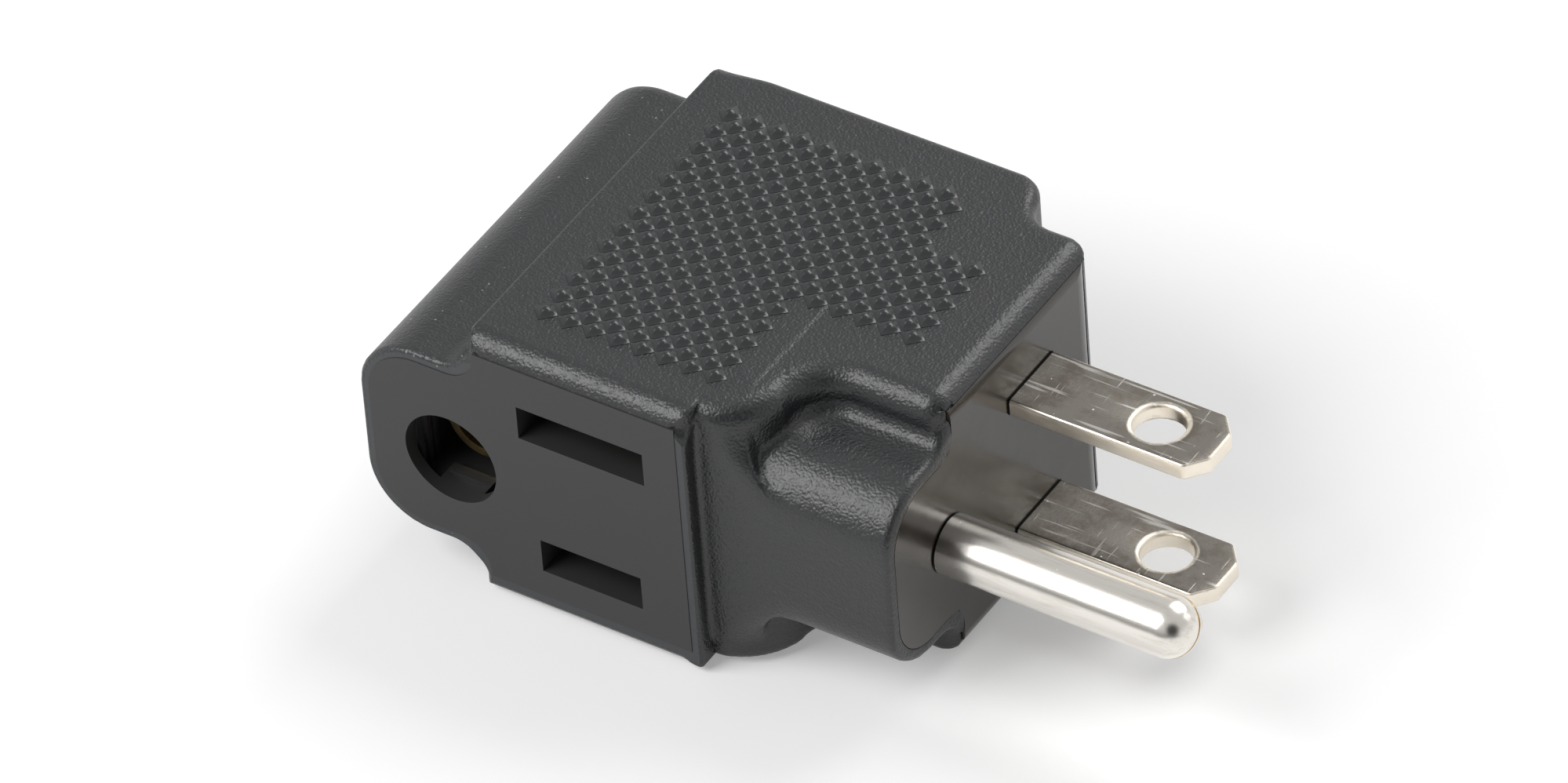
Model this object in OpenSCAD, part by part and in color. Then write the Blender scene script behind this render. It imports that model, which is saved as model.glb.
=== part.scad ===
// Right angle grounded plug adapter: a three pin plug on one side of a moulded
// jacket, and the matching three hole outlet on the side next to it.
// Design axes: +X runs along the blades out of the plug, the outlet faces -Y and
// +Z is up. Design zero is where the plug face meets the line midway between the
// blades. The finished part is then set on the ground with its box centred.

/* [Pins] */
// Distance between the two blades, centre to centre
blade_pitch = 12.7; // [12.4:0.1:13]
// Distance from the blades' centre line to the ground pin's centre
ground_offset = 11.9; // [11.6:0.1:12.2]
// Width of each blade
blade_w = 6.35; // [6:0.05:6.6]
// Thickness of each blade
blade_t = 1.5; // [1.3:0.05:1.7]
// Length of each blade in front of the plug face
blade_len = 16.6; // [15.5:0.1:17.5]
// Length of the chamfer at each blade's tip
blade_tip_len = 1.4; // [0.8:0.1:2.4]
// How far that chamfer cuts into each side of the tip
blade_tip_side = 1.7; // [0.8:0.1:2.2]
// Radius of the hole in each blade
blade_hole_r = 2; // [1.5:0.05:2.3]
// Distance from the plug face to the blade hole's centre
blade_hole_x = 11.1; // [9.5:0.1:12]
// Radius of the ground pin
pin_r = 2.39; // [2.3:0.01:2.5]
// Length of the ground pin in front of the plug face
pin_len = 21.2; // [20:0.1:22]
// Wall of the rolled ground pin
pin_wall = 0.7; // [0.5:0.05:1]
// Width of the rolled pin's seam
pin_seam = 0.14; // [0.1:0.02:0.3]
// How far the collar stands out round the pin inside the bridge
pin_collar = 0.5; // [0.3:0.05:0.8]
// Thickness of plastic in front of that collar
collar_skin = 0.15; // [0.1:0.01:0.17]

/* [Outlet] */
// Distance from the plug face to the slots' centre line
outlet_x = 25.4; // [24.8:0.1:26]
// Distance from the blades' centre line to the outlet's face
outlet_y = 21.75; // [21:0.05:23]
// Length of the longer, neutral slot
neutral_slot = 11; // [10:0.1:11.5]
// Length of the shorter, line slot
line_slot = 8.8; // [8:0.1:9.2]
// Width of both slots
slot_w = 3.05; // [2.6:0.05:3.4]
// Radius of the ground hole
ground_hole_r = 4; // [3.6:0.05:4.2]
// Length of the ground hole's wall, before it opens into the core's pocket
hole_lip = 1.1; // [0.9:0.1:1.8]
// Step where the ground hole opens into that pocket
hole_step = 0.1; // [0.05:0.05:0.2]
// Depth of the ledge under the ground hole, measured along the hole
ledge_len = 1.9; // [1.4:0.1:2.4]
// Height of that ledge's top above the pocket's floor
ledge_h = 0.6; // [0.4:0.05:0.8]
// Width of that ledge
ledge_w = 3.9; // [3:0.1:5]
// Thickness of the ribs on the pocket's side
rib_t = 0.45; // [0.3:0.05:0.6]
// Height of those ribs
rib_h = 0.4; // [0.3:0.05:0.6]

/* [Jacket] */
// Thickness of the jacket from its top to its underside
jacket_t = 24.7; // [24:0.1:26]
// Height of the jacket's middle above the middle of the pins
jacket_lift = 0.55; // [0:0.05:0.8]
// Radius that rolls the top and bottom edges over
edge_r = 1.9; // [1.2:0.1:2.4]
// Radius of the edge under the outlet's face
lower_edge_r = 0.9; // [0.5:0.1:1.4]
// Radius of the lip between the outlet's face and the scoop, and of its fillet
lip_r = 0.7; // [0.4:0.05:0.9]
// Radius of the lesser edges at the back
back_edge_r = 0.9; // [0.5:0.1:1.4]
// Length of the outlet block from the slots' centre line towards the ground hole
block_left_len = 9.9; // [9.4:0.1:10.4]
// Length of the outlet block from the slots' centre line towards the plug
block_right_len = 9.3; // [8.8:0.1:9.8]
// Distance from the blades' centre line to the jacket's back
back_y = 13.8; // [13:0.1:15]
// Distance from the blades' centre line to the plug head's back wall
head_back = 9.4; // [9:0.1:10]
// Distance from the blades' centre line to the plug head's front wall
head_front = 11.8; // [11:0.1:12.4]
// Length of the back shoulder from the outlet block towards the plug face
shoulder_len = 8.6; // [7:0.1:9.6]
// Radius of the shoulder's corner and of the hollow beside it
shoulder_r = 2.4; // [1.5:0.1:3]
// Distance from the outlet's ground hole to the end of the tongue round it
outlet_nose = 7.7; // [7:0.1:9]
// Half height of the tongue round the outlet's ground hole
outlet_tongue = 8.8; // [8:0.1:9.4]
// Distance from the ground pin to the end of the tongue round it
plug_nose = 8.3; // [7.5:0.1:9]
// Half height of the tongue round the ground pin
plug_tongue = 8.5; // [7.8:0.1:9]
// Corner radius of both tongues
tongue_r = 5.2; // [4:0.1:6.5]
// Radius of the hollow where a tongue meets the full thickness
hollow_r = 2.6; // [1.8:0.1:3.2]
// Radius of the rounded upright corners of the jacket
corner_r = 1.5; // [0.8:0.1:2]
// Step where the tongue's edge rolls over at the plug face
face_edge = 0.5; // [0.2:0.1:0.8]

/* [Thumb scoop] */
// Distance from the plug face to the scoop's centre
scoop_x = 7.3; // [6.5:0.1:8]
// Radius of the scoop's wall
scoop_r = 3.7; // [3:0.1:4.4]
// Radius of the round web beside the scoop
web_r = 6; // [5:0.1:6.6]
// How far the web's skirt spreads as it runs down to the tongue's flat side
web_skirt = 6; // [4:0.1:7]
// How far the flank's plane and the scoop trim the web
web_trim = 0.1; // [0.05:0.05:0.3]
// Radius of the hollow between the scoop's wall and the tongue
valley_r = 1.9; // [1.4:0.1:2.4]

/* [Grip] */
// Distance between neighbouring grip teeth along a row
tooth_pitch = 2.1; // [1.8:0.02:2.6]
// Height of the grip teeth
tooth_h = 0.45; // [0.3:0.05:0.6]
// Depth of the grooves' bottoms above the face that the teeth stand on
tooth_groove = 0.03; // [0.02:0.01:0.06]
// Distance from the outlet block's left edge to the pad's first column of teeth
grip_left = 4; // [3:0.1:5]
// Distance from the outlet's face to the pad's first row of teeth
grip_front = 5.35; // [4.5:0.05:6]
// Half pitches from the pad's first column to its last on the outlet block
grip_cols = 14; // [10:1:15]
// Half pitches from the pad's first row to its last
grip_rows = 24; // [20:1:25]
// Last column of the pad's step along the back
back_cols = 19; // [15:1:20]
// First row of the pad's step along the back
back_row = 19; // [17:1:21]
// Last column of the pad's step towards the plug
plug_cols = 24; // [20:1:25]
// First row of the pad's step towards the plug
plug_row = 10; // [9:1:12]

/* [Inside] */
// Thickness of the outlet core's face plate
face_t = 3; // [2.5:0.1:3.6]
// Width of the jacket's rim above and below the outlet's face
face_rim = 1.4; // [1:0.1:1.8]
// Width of that rim at the sides and round the tongue
side_rim = 0.8; // [0.7:0.1:1.2]
// Wall of the outlet core round its contacts
core_wall = 1.3; // [1:0.1:1.6]
// Distance from the blades' centre line to the outlet core's back
core_back = 5.2; // [5:0.1:6]
// Distance from the outlet block's left edge to the core behind the face plate
core_inset = 1.5; // [1:0.1:2]
// Thickness of the cover at the back of the core
cover_t = 2; // [1.5:0.1:2.5]
// Thickness of the plug bridge that carries the pins
bridge_t = 3.5; // [3:0.1:4.5]
// Width of the jacket's rim round the plug bridge
bridge_rim = 1.1; // [0.8:0.1:1.5]
// Thickness of the clamp behind the bridge
clamp_t = 2.2; // [2:0.1:3]
// How far the blades' shoulders stand out on each side
shoulder_side = 1; // [0.6:0.1:1.4]
// Length of those shoulders
shoulder_stop = 1.2; // [0.8:0.1:1.6]
// Thickness of the contact strip
strip_t = 0.7; // [0.5:0.05:0.8]
// Width of the tails that join blades, pin and contacts
tail_w = 5; // [4:0.1:5.6]
// Clearance between a contact and its pocket
pocket_gap = 0.3; // [0.2:0.05:0.5]
// Distance from the back of the face plate to the contacts
leaf_setback = 1.2; // [0.8:0.1:2]
// Length of the pinched mouth of a folded contact
leaf_mouth = 3; // [2:0.1:4]
// Gap that the two leaves close to before a blade parts them
leaf_gap = 0.9; // [0.6:0.05:1.2]
// How much the split ground socket's radius is under the pin's
socket_bite = 0.1; // [0.05:0.05:0.2]
// Slit in the split ground socket
socket_slit = 0.6; // [0.4:0.05:0.9]
// Radius of the rivets' shanks
rivet_r = 1; // [0.8:0.05:1.2]
// Radius of the rivets' heads
rivet_head_r = 1.9; // [1.5:0.1:2.2]
// Height of the rivets' heads
rivet_head = 0.6; // [0.4:0.05:0.8]

/* [Hidden] */
$fn = 72;
// A cut runs this far past the face that it opens
past = 1;

// Levels of the jacket, and its walls in design coordinates
top_z = jacket_lift + jacket_t / 2;
bottom_z = jacket_lift - jacket_t / 2;
block_left = -outlet_x - block_left_len;
block_right = -outlet_x + block_right_len;
shoulder_x = block_right + shoulder_len;
ground_x = -outlet_x - ground_offset;
nose_x = ground_x - outlet_nose;
nose_y = -ground_offset - plug_nose;
line_z = -blade_pitch / 2;
neutral_z = blade_pitch / 2;

// Centres of the scoop and of the web, whose round sides touch each other, and the
// tongue's flank and the head's front wall
scoop_y = -head_front - scoop_r;
web_y = nose_y + web_r - web_trim;
web_x = -scoop_x - sqrt(pow(scoop_r + web_r - web_trim, 2) - pow(scoop_y - web_y, 2));

// Outlet core, from its face back
core_half = blade_pitch / 2 + slot_w;
core_left = block_left + core_inset;
core_right = -outlet_x + neutral_slot / 2 + core_wall + pocket_gap;
ground_pocket = ground_hole_r + hole_step;
ground_half = ground_pocket + core_wall;

// Plug side: the clamp's back face, and where the tails overlap
clamp_back = -bridge_t - clamp_t;
tail_end = clamp_back - tail_w;
rivet_x = clamp_back - tail_w / 2;
tail_z = blade_t / 2 + strip_t / 2;
shoulder_w = blade_w + 2 * shoulder_side;

// Contacts: a folded strip with two leaves that close on a blade
leaf_front = -outlet_y + face_t + leaf_setback;
leaf_pinch = leaf_front + leaf_mouth;
leaf_back = tail_w / 2;
leaf_w = line_slot - 2 * pocket_gap;
link_y = core_back - pocket_gap - tail_w / 2;
link_lap = 2 * strip_t;
socket_r = pin_r - socket_bite;
socket_back = link_y - tail_w / 2 - link_lap;

// The finished part stands on its lowest teeth with its box centred on zero
to_ground = [
    -(nose_x + pin_len) / 2,
    -(back_y - outlet_y) / 2,
    -bottom_z + tooth_h
];

// Square with its corners rounded, from low corner a to high corner b
module round_rect(a, b, r) {
    translate([a[0] + r, a[1] + r]) {
        translate([0, -r]) square([b[0] - a[0] - 2 * r, b[1] - a[1]]);
        translate([-r, 0]) square([b[0] - a[0], b[1] - a[1] - 2 * r]);
    }
    for (x = [a[0] + r, b[0] - r], y = [a[1] + r, b[1] - r])
        translate([x, y]) circle(r);
}

// Rounded tongue that ends at u = -reach, with a hollow curve on both sides where
// it meets the full thickness at u = 0
module tongue(reach, tongue_half, r, hollow) {
    round_rect([-reach, -tongue_half], [2 * r, tongue_half], r);
    for (side = [-1, 1])
        difference() {
            translate([-hollow, side * tongue_half - (side < 0 ? hollow : 0)])
                square(hollow);
            translate([-hollow, side * (tongue_half + hollow)]) circle(hollow);
        }
}

// Turns an outline drawn in X and Z into a bar along Y, from y0 to y1
module bar_y(y0, y1) {
    translate([0, y1, 0]) rotate([90, 0, 0]) linear_extrude(y1 - y0) children();
}

// Turns an outline drawn in Y and Z into a bar along X, from x0 to x1
module bar_x(x0, x1) {
    translate([x0, 0, 0]) rotate([90, 0, 90]) linear_extrude(x1 - x0) children();
}

// Tongue round the ground hole, in X and Z, drawn a little inside by inset
module outlet_tongue_outline(inset = 0) {
    translate([block_left + inset, jacket_lift])
        tongue(block_left - nose_x, outlet_tongue - inset, tongue_r - inset, hollow_r);
}

// Tongue round the ground pin, in Y and Z, the same way
module plug_tongue_outline(inset = 0) {
    translate([-head_front + inset, jacket_lift])
        tongue(-head_front - nose_y, plug_tongue - inset, tongue_r - inset, valley_r);
}

// Outline of the face plate in X and Z, a shield inside the jacket's rim
module face_outline() {
    outlet_tongue_outline(side_rim);
    translate([block_left + side_rim, bottom_z + face_rim])
        square([block_right - block_left - 2 * side_rim, jacket_t - 2 * face_rim]);
}

// Whole outline of the plug's face in Y and Z
module plug_outline(inset) {
    plug_tongue_outline(inset);
    translate([-head_front + inset, bottom_z + inset])
        square([head_front + head_back - 2 * inset, jacket_t - 2 * inset]);
}

// Square outlet block. Its long edges are rolled over, its back left corner is
// round, and so is the lip where its face meets the scoop
module outlet_block() {
    intersection() {
        translate([block_left, -outlet_y, bottom_z])
            cube([block_right - block_left, back_y + outlet_y, jacket_t]);
        bar_x(block_left, block_right) intersection() {
            round_rect([-outlet_y, bottom_z - 2 * edge_r], [back_y + 2 * edge_r, top_z], edge_r);
            round_rect([-outlet_y, bottom_z], [back_y + 2 * edge_r, top_z + 2 * edge_r], lower_edge_r);
            round_rect([-outlet_y - 2 * edge_r, bottom_z], [back_y, top_z], back_edge_r);
        }
        linear_extrude(2 * jacket_t, center = true) intersection() {
            round_rect(
                [block_left, -outlet_y - 2 * corner_r], [block_right + 2 * corner_r, back_y], corner_r
            );
            round_rect([block_left - 2 * lip_r, -outlet_y], [block_right, back_y + 2 * lip_r], lip_r);
        }
    }
}

// Fillet between the lip and the flank that runs on to the plug
module lip_fillet() {
    translate([block_right, nose_y - lip_r, bottom_z + edge_r])
        linear_extrude(jacket_t - 2 * edge_r) difference() {
            square(lip_r);
            translate([lip_r, 0]) circle(lip_r);
        }
}

// Head behind the plug face, from its front wall back, with rolled edges. The
// jacket and the bridge share them
module plug_head(front) {
    intersection() {
        bar_x(block_right - past, 0) intersection() {
            round_rect([front, bottom_z], [head_back + 2 * edge_r, top_z], edge_r);
            round_rect([front - 2 * edge_r, bottom_z], [head_back, top_z], back_edge_r);
        }
        bar_y(front, head_back)
            round_rect([block_left, bottom_z], [0, top_z], edge_r);
        linear_extrude(2 * jacket_t, center = true)
            round_rect([block_left, front - 2 * shoulder_r], [0, head_back], shoulder_r);
    }
}

// Shoulder at the back, between the outlet block and the plug head, and the hollow
// beside it, which ends under the rolled edges
module back_shoulder() {
    intersection() {
        linear_extrude(2 * jacket_t, center = true)
            round_rect([block_left + corner_r, 0], [shoulder_x, back_y], shoulder_r);
        bar_x(block_left + corner_r, 0)
            round_rect([-head_front, bottom_z], [back_y, top_z], back_edge_r);
        bar_y(0, back_y)
            round_rect([block_left, bottom_z], [shoulder_x, top_z], back_edge_r);
    }
    translate([0, 0, bottom_z + back_edge_r]) linear_extrude(jacket_t - 2 * back_edge_r)
        difference() {
            translate([shoulder_x - past, head_back - past])
                square([shoulder_r + past, shoulder_r + past]);
            translate([shoulder_x + shoulder_r, head_back + shoulder_r]) circle(shoulder_r);
        }
}

// Half outline of the scoop in radius and height above the jacket's middle: its
// floor is the tongue's top, and its wall flares out under the rolled edge
module scoop_outline() {
    flare_z = jacket_t / 2 - edge_r;
    difference() {
        translate([0, plug_tongue]) square([scoop_r + edge_r, jacket_t]);
        translate([scoop_r, plug_tongue - past]) square([edge_r + past, flare_z - plug_tongue + past]);
        translate([scoop_r + edge_r, flare_z]) circle(edge_r);
        difference() {
            translate([scoop_r - valley_r, plug_tongue - past]) square(valley_r + past);
            translate([scoop_r - valley_r, plug_tongue + valley_r]) circle(valley_r);
        }
    }
}

// Half outline of the web in radius and height: a rolled edge over a skirt that
// spreads until it meets the flat side of the tongue
module web_outline() {
    skirt_z = jacket_t / 2 - edge_r;
    foot_z = plug_tongue - tongue_r;
    difference() {
        polygon([
            [0, jacket_t / 2], [web_r, jacket_t / 2], [web_r, skirt_z], [web_r + web_skirt, foot_z],
            [web_r + web_skirt, -foot_z], [web_r, -skirt_z], [web_r, -jacket_t / 2], [0, -jacket_t / 2]
        ]);
        for (side = [0, 1]) mirror([0, side]) difference() {
            translate([web_r - edge_r, skirt_z]) square(edge_r + past);
            translate([web_r - edge_r, skirt_z]) circle(edge_r);
        }
    }
}

// Web that sweeps from the outlet block round the scoop into the plug head. Its
// flank lies in one plane with the tongue's
module scoop_web() {
    wall_y = -head_front + edge_r;
    difference() {
        union() {
            intersection() {
                translate([web_x, web_y, jacket_lift]) rotate_extrude() web_outline();
                translate([block_left, nose_y, bottom_z - past])
                    cube([-block_left - past, -nose_y, jacket_t + 2 * past]);
            }
            translate([0, 0, bottom_z]) linear_extrude(jacket_t)
                polygon([[web_x, web_y], [-scoop_x, scoop_y], [-scoop_x, wall_y], [web_x, wall_y]]);
        }
        translate([-scoop_x, scoop_y, jacket_lift])
            for (side = [0, 1]) mirror([0, 0, side]) rotate_extrude() scoop_outline();
    }
}

// Everything that the jacket's outside encloses, before the grip is added
module jacket_form() {
    outlet_block();
    bar_y(-outlet_y, back_y - corner_r) outlet_tongue_outline();
    plug_head(-head_front);
    bar_x(block_right - past, -face_edge) plug_tongue_outline();
    bar_x(-past, 0) plug_tongue_outline(face_edge);
    back_shoulder();
    scoop_web();
    lip_fillet();
}

// Grip teeth stand on a lattice turned by 45 degrees: column i and row j are half
// pitches from the pad's first tooth, and every other place holds one
function grip_at(i, j) =
    [block_left + grip_left + i * tooth_pitch / 2, -outlet_y + grip_front + j * tooth_pitch / 2];
function on_pad(i, j) = i >= 0 && j >= 0 && j <= grip_rows && (
    i <= grip_cols || (i <= back_cols && j >= back_row) || (i <= plug_cols && j >= plug_row && j < back_row)
);
function has_tooth(c) = (c[0] + c[1]) % 2 == 0 && on_pad(c[0], c[1]);
grip_teeth = [for (i = [0:plug_cols], j = [0:grip_rows]) if (has_tooth([i, j])) [i, j]];

// Corners of a tooth's square foot, in half pitches round its centre
foot = [[1, 0], [0, 1], [-1, 0], [0, -1]];
// Grip pad standing on z = 0: one solid with a pyramid on each tooth's foot, and
// its walls only along the pad's edge. Each tooth has a point at its tip, four
// at its foot and four sunk below the face.
module grip_pad() {
    sink = tooth_h / 3;
    points = [
        for (c = grip_teeth) each concat(
            [[grip_at(c[0], c[1])[0], grip_at(c[0], c[1])[1], tooth_h]],
            [for (z = [tooth_groove, -sink], f = foot) concat(grip_at(c[0] + f[0], c[1] + f[1]), z)]
        )
    ];
    faces = [
        for (n = [0:len(grip_teeth) - 1]) let (a = 9 * n) each concat(
            [for (k = [0:3]) [a, a + 1 + (k + 1) % 4, a + 1 + k]],
            [[a + 5, a + 6, a + 7, a + 8]],
            [for (k = [0:3]) let (m = (k + 1) % 4)
                if (!has_tooth(grip_teeth[n] + foot[k] + foot[m]))
                    [a + 1 + k, a + 1 + m, a + 5 + m, a + 5 + k]]
        )
    ];
    polyhedron(points, faces);
}

// Outer solid of the outlet core: a face plate and a body behind it
module core_form() {
    bar_y(-outlet_y, -outlet_y + face_t)
        face_outline();
    bar_y(-outlet_y + face_t, core_back) {
        translate([core_left, -core_half]) square([core_right - core_left, 2 * core_half]);
        translate([ground_x - ground_half, -ground_half])
            square([core_left - ground_x + ground_half + past, 2 * ground_half]);
    }
}

// Pocket of a flat contact, open at the core's back
module contact_pocket(z, slot_len) {
    translate([-outlet_x - neutral_slot / 2, -outlet_y + face_t, z - slot_w / 2 - pocket_gap])
        cube([neutral_slot, outlet_y - face_t + core_back + past, slot_w + 2 * pocket_gap]);
    translate([-outlet_x - slot_len / 2, -outlet_y - past, z - slot_w / 2])
        cube([slot_len, face_t + 2 * past, slot_w]);
}

// Side of a thin leaf in Y and Z, a strip of thickness t along points
module leaf_side(points, t) {
    n = len(points);
    polygon(concat(
        [for (p = points) [p[0], p[1] - t / 2]],
        [for (k = [n - 1:-1:0]) [points[k][0], points[k][1] + t / 2]]
    ));
}

// Folded contact with two leaves, and a tail that reaches the blade's tail
module flat_contact(z, side) {
    leaf = [
        [leaf_front, tail_z], [leaf_pinch, leaf_gap / 2 + strip_t / 2],
        [leaf_pinch + leaf_mouth, tail_z], [leaf_back, tail_z]
    ];
    translate([0, 0, z]) {
        bar_x(-outlet_x - leaf_w / 2, -outlet_x + leaf_w / 2) {
            leaf_side(leaf, strip_t);
            mirror([0, 1]) leaf_side(leaf, strip_t);
            translate([leaf_back, -tail_z - strip_t / 2]) square([strip_t, 2 * tail_z + strip_t]);
        }
        translate([-outlet_x, leaf_back - tail_w, side * tail_z - strip_t / 2])
            difference() {
                cube([outlet_x + clamp_back, tail_w, strip_t]);
                translate([outlet_x + rivet_x, tail_w / 2, -past])
                    cylinder(r = rivet_r, h = strip_t + 2 * past);
            }
    }
}

// One flat blade, chamfered at its tip and held by shoulders in the clamp
module blade(z) {
    translate([0, 0, z - blade_t / 2])
        difference() {
            linear_extrude(blade_t) difference() {
                union() {
                    polygon([
                        [tail_end, -blade_w / 2], [blade_len - blade_tip_len, -blade_w / 2],
                        [blade_len, -blade_w / 2 + blade_tip_side],
                        [blade_len, blade_w / 2 - blade_tip_side],
                        [blade_len - blade_tip_len, blade_w / 2], [tail_end, blade_w / 2]
                    ]);
                    translate([-bridge_t - shoulder_stop, -shoulder_w / 2])
                        square([shoulder_stop, shoulder_w]);
                }
                translate([blade_hole_x, 0]) circle(blade_hole_r);
                translate([rivet_x, leaf_back - tail_w / 2]) circle(rivet_r);
            }
        }
}

// Rivet through a stack of height h that starts at level z
module rivet(x, y, z, h) {
    translate([x, y, z]) {
        cylinder(r = rivet_r, h = h);
        translate([0, 0, -rivet_head]) cylinder(r = rivet_head_r, h = rivet_head);
        translate([0, 0, h]) cylinder(r = rivet_head_r, h = rivet_head);
    }
}

// Outside of the ground pin: a round bar with a domed end
module pin_form(r, x0, x1) {
    translate([x0, -ground_offset, 0]) rotate([0, 90, 0]) cylinder(r = r, h = x1 - r - x0);
    translate([x1 - r, -ground_offset, 0]) sphere(r);
}

// Collar of the pin, which the bridge and the clamp hold
module pin_shank() {
    translate([-bridge_t - shoulder_stop, -ground_offset, 0]) rotate([0, 90, 0])
        cylinder(r = pin_r + pin_collar, h = bridge_t + shoulder_stop - collar_skin);
}

// The pin's sheet pressed flat behind the clamp
module pin_tail() {
    flat_w = tail_w - 2 * pocket_gap;
    translate([tail_end, -ground_offset - flat_w / 2, -pin_wall])
        cube([-bridge_t - shoulder_stop - tail_end, flat_w, 2 * pin_wall]);
}

// Angled strap on top of the pin's tail, which runs back to the ground contact
module ground_link_form() {
    translate([tail_end, -ground_offset - tail_w / 2, pin_wall])
        cube([tail_w, ground_offset + tail_w + link_y, strip_t]);
    translate([ground_x - tail_w / 2, link_y - tail_w / 2, pin_wall])
        cube([tail_end - ground_x + tail_w, tail_w, strip_t]);
}

// Where the blades, pin and links pass through plastic
module metal_windows() {
    for (z = [line_z, neutral_z]) {
        translate([tail_end, -blade_w / 2, z - blade_t / 2])
            cube([past - tail_end, blade_w, blade_t]);
        translate([-bridge_t - shoulder_stop, -shoulder_w / 2, z - blade_t / 2])
            cube([shoulder_stop, shoulder_w, blade_t]);
    }
    pin_shank();
    pin_form(pin_r, -bridge_t, pin_len);
    pin_tail();
}

// Where the contacts' tails and the link pass through plastic
module strip_windows() {
    for (side = [-1, 1])
        translate([-outlet_x, leaf_back - tail_w, side * (neutral_z - tail_z) - strip_t / 2])
            cube([outlet_x + clamp_back, tail_w, strip_t]);
    ground_link_form();
}

module outer_jacket() {
    color("#1f2022") translate(to_ground) {
        difference() {
            jacket_form();
            core_form();
            cover_form();
            bar_x(-bridge_t, past) plug_outline(bridge_rim);
            clamp_form();
            metal_windows();
            strip_windows();
            rivet_set();
        }
        translate([0, 0, top_z]) grip_pad();
        translate([0, 0, bottom_z]) mirror([0, 0, 1]) grip_pad();
    }
}

module receptacle_core() {
    color("#3a3a3c") translate(to_ground)
        difference() {
            core_form();
            contact_pocket(neutral_z, neutral_slot);
            contact_pocket(line_z, line_slot);
            translate([ground_x, -outlet_y - past, 0]) rotate([-90, 0, 0])
                cylinder(r = ground_hole_r, h = hole_lip + 2 * past);
            difference() {
                translate([ground_x - ground_pocket, -outlet_y + hole_lip, -ground_pocket])
                    cube([2 * ground_pocket, outlet_y + core_back + past, 2 * ground_pocket]);
                pocket_ledge();
            }
            strip_windows();
            rivet_set();
        }
}

// Ledge under the ground hole, and the ribs up the side of the pocket behind it
module pocket_ledge() {
    translate([ground_x - ledge_w / 2, -outlet_y + hole_lip - past, -ground_pocket - past])
        cube([ledge_w, ledge_len + past, ledge_h + past]);
    for (k = [1, 3, 5])
        translate([ground_x - ground_pocket - past, -outlet_y + hole_lip + k * rib_t, -ground_pocket - past])
            cube([rib_h + past, rib_t, 2 * (ground_pocket + past)]);
}

module cover_form() {
    bar_y(core_back, core_back + cover_t) {
        translate([core_left, -core_half]) square([core_right - core_left, 2 * core_half]);
        translate([ground_x - ground_half, -ground_half])
            square([core_left - ground_x + ground_half + past, 2 * ground_half]);
    }
}

module core_cover() {
    color("#2b2b2d") translate(to_ground) cover_form();
}

module plug_bridge() {
    color("#2e2d2c") translate(to_ground)
        difference() {
            intersection() {
                bar_x(-bridge_t, 0) plug_outline(bridge_rim);
                plug_head(nose_y);
            }
            metal_windows();
        }
}

// The clamp is wide behind the blades and narrow behind the pin
module clamp_form() {
    pin_side = pin_r + core_wall;
    blade_side = shoulder_w / 2 + core_wall;
    translate([clamp_back, -blade_side, -core_half])
        cube([clamp_t, 2 * blade_side, 2 * core_half]);
    translate([clamp_back, -ground_offset - pin_side, -pin_side])
        cube([clamp_t, ground_offset, 2 * pin_side]);
}

module bridge_clamp() {
    color("#2b2b2d") translate(to_ground)
        difference() {
            clamp_form();
            metal_windows();
        }
}

module line_blade() {
    color("#c9c2b4") translate(to_ground) blade(line_z);
}

module neutral_blade() {
    color("#c9c2b4") translate(to_ground) blade(neutral_z);
}

module ground_pin() {
    color("#cfc4ae") translate(to_ground)
        difference() {
            union() {
                difference() {
                    union() {
                        pin_form(pin_r, -collar_skin, pin_len);
                        pin_shank();
                    }
                    pin_form(pin_r - pin_wall, -bridge_t - shoulder_stop - past, pin_len - pin_wall);
                }
                pin_tail();
            }
            translate([0, -ground_offset - pin_seam / 2, -pin_r - past])
                cube([pin_len, pin_seam, pin_r + past]);
            translate([pin_len - pin_r, -ground_offset - pin_seam / 2, -past])
                cube([pin_r + past, pin_seam, pin_r + 2 * past]);
            translate([rivet_x, -ground_offset, -past]) cylinder(r = rivet_r, h = 2 * past);
        }
}

module line_contact() {
    color("#b9a35c") translate(to_ground) flat_contact(line_z, 1);
}

module neutral_contact() {
    color("#b9a35c") translate(to_ground) flat_contact(neutral_z, -1);
}

module ground_contact() {
    color("#b9a35c") translate(to_ground) {
        difference() {
            translate([ground_x, leaf_front, 0]) rotate([-90, 0, 0])
                cylinder(r = socket_r + strip_t, h = socket_back - leaf_front);
            translate([ground_x, leaf_front - past, 0]) rotate([-90, 0, 0])
                cylinder(r = socket_r, h = socket_back - leaf_front + 2 * past);
            translate([ground_x - pin_r - past, leaf_front - past, -socket_slit / 2])
                cube([2 * (pin_r + past), socket_back - leaf_front - link_lap, socket_slit]);
        }
        difference() {
            translate([ground_x - tail_w / 2, socket_back - link_lap, pin_wall - strip_t])
                cube([tail_w, link_y + tail_w / 2 - socket_back + link_lap, strip_t]);
            translate([ground_x, link_y, -past]) cylinder(r = rivet_r, h = 3 * past);
        }
    }
}

module ground_link() {
    color("#b9a35c") translate(to_ground)
        difference() {
            ground_link_form();
            translate([rivet_x, -ground_offset, 0]) cylinder(r = rivet_r, h = 3 * past);
            translate([ground_x, link_y, 0]) cylinder(r = rivet_r, h = 3 * past);
        }
}

// The rivets in design coordinates
module rivet_line() {
    rivet(rivet_x, leaf_back - tail_w / 2, line_z - blade_t / 2, blade_t + strip_t);
}

module rivet_neutral() {
    rivet(rivet_x, leaf_back - tail_w / 2, neutral_z - blade_t / 2 - strip_t, blade_t + strip_t);
}

module rivet_pin() {
    rivet(rivet_x, -ground_offset, -pin_wall, 2 * pin_wall + strip_t);
}

module rivet_set() {
    rivet_line();
    rivet_neutral();
    rivet_pin();
}

module line_rivet() {
    color("#c8b273") translate(to_ground) rivet_line();
}

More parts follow.
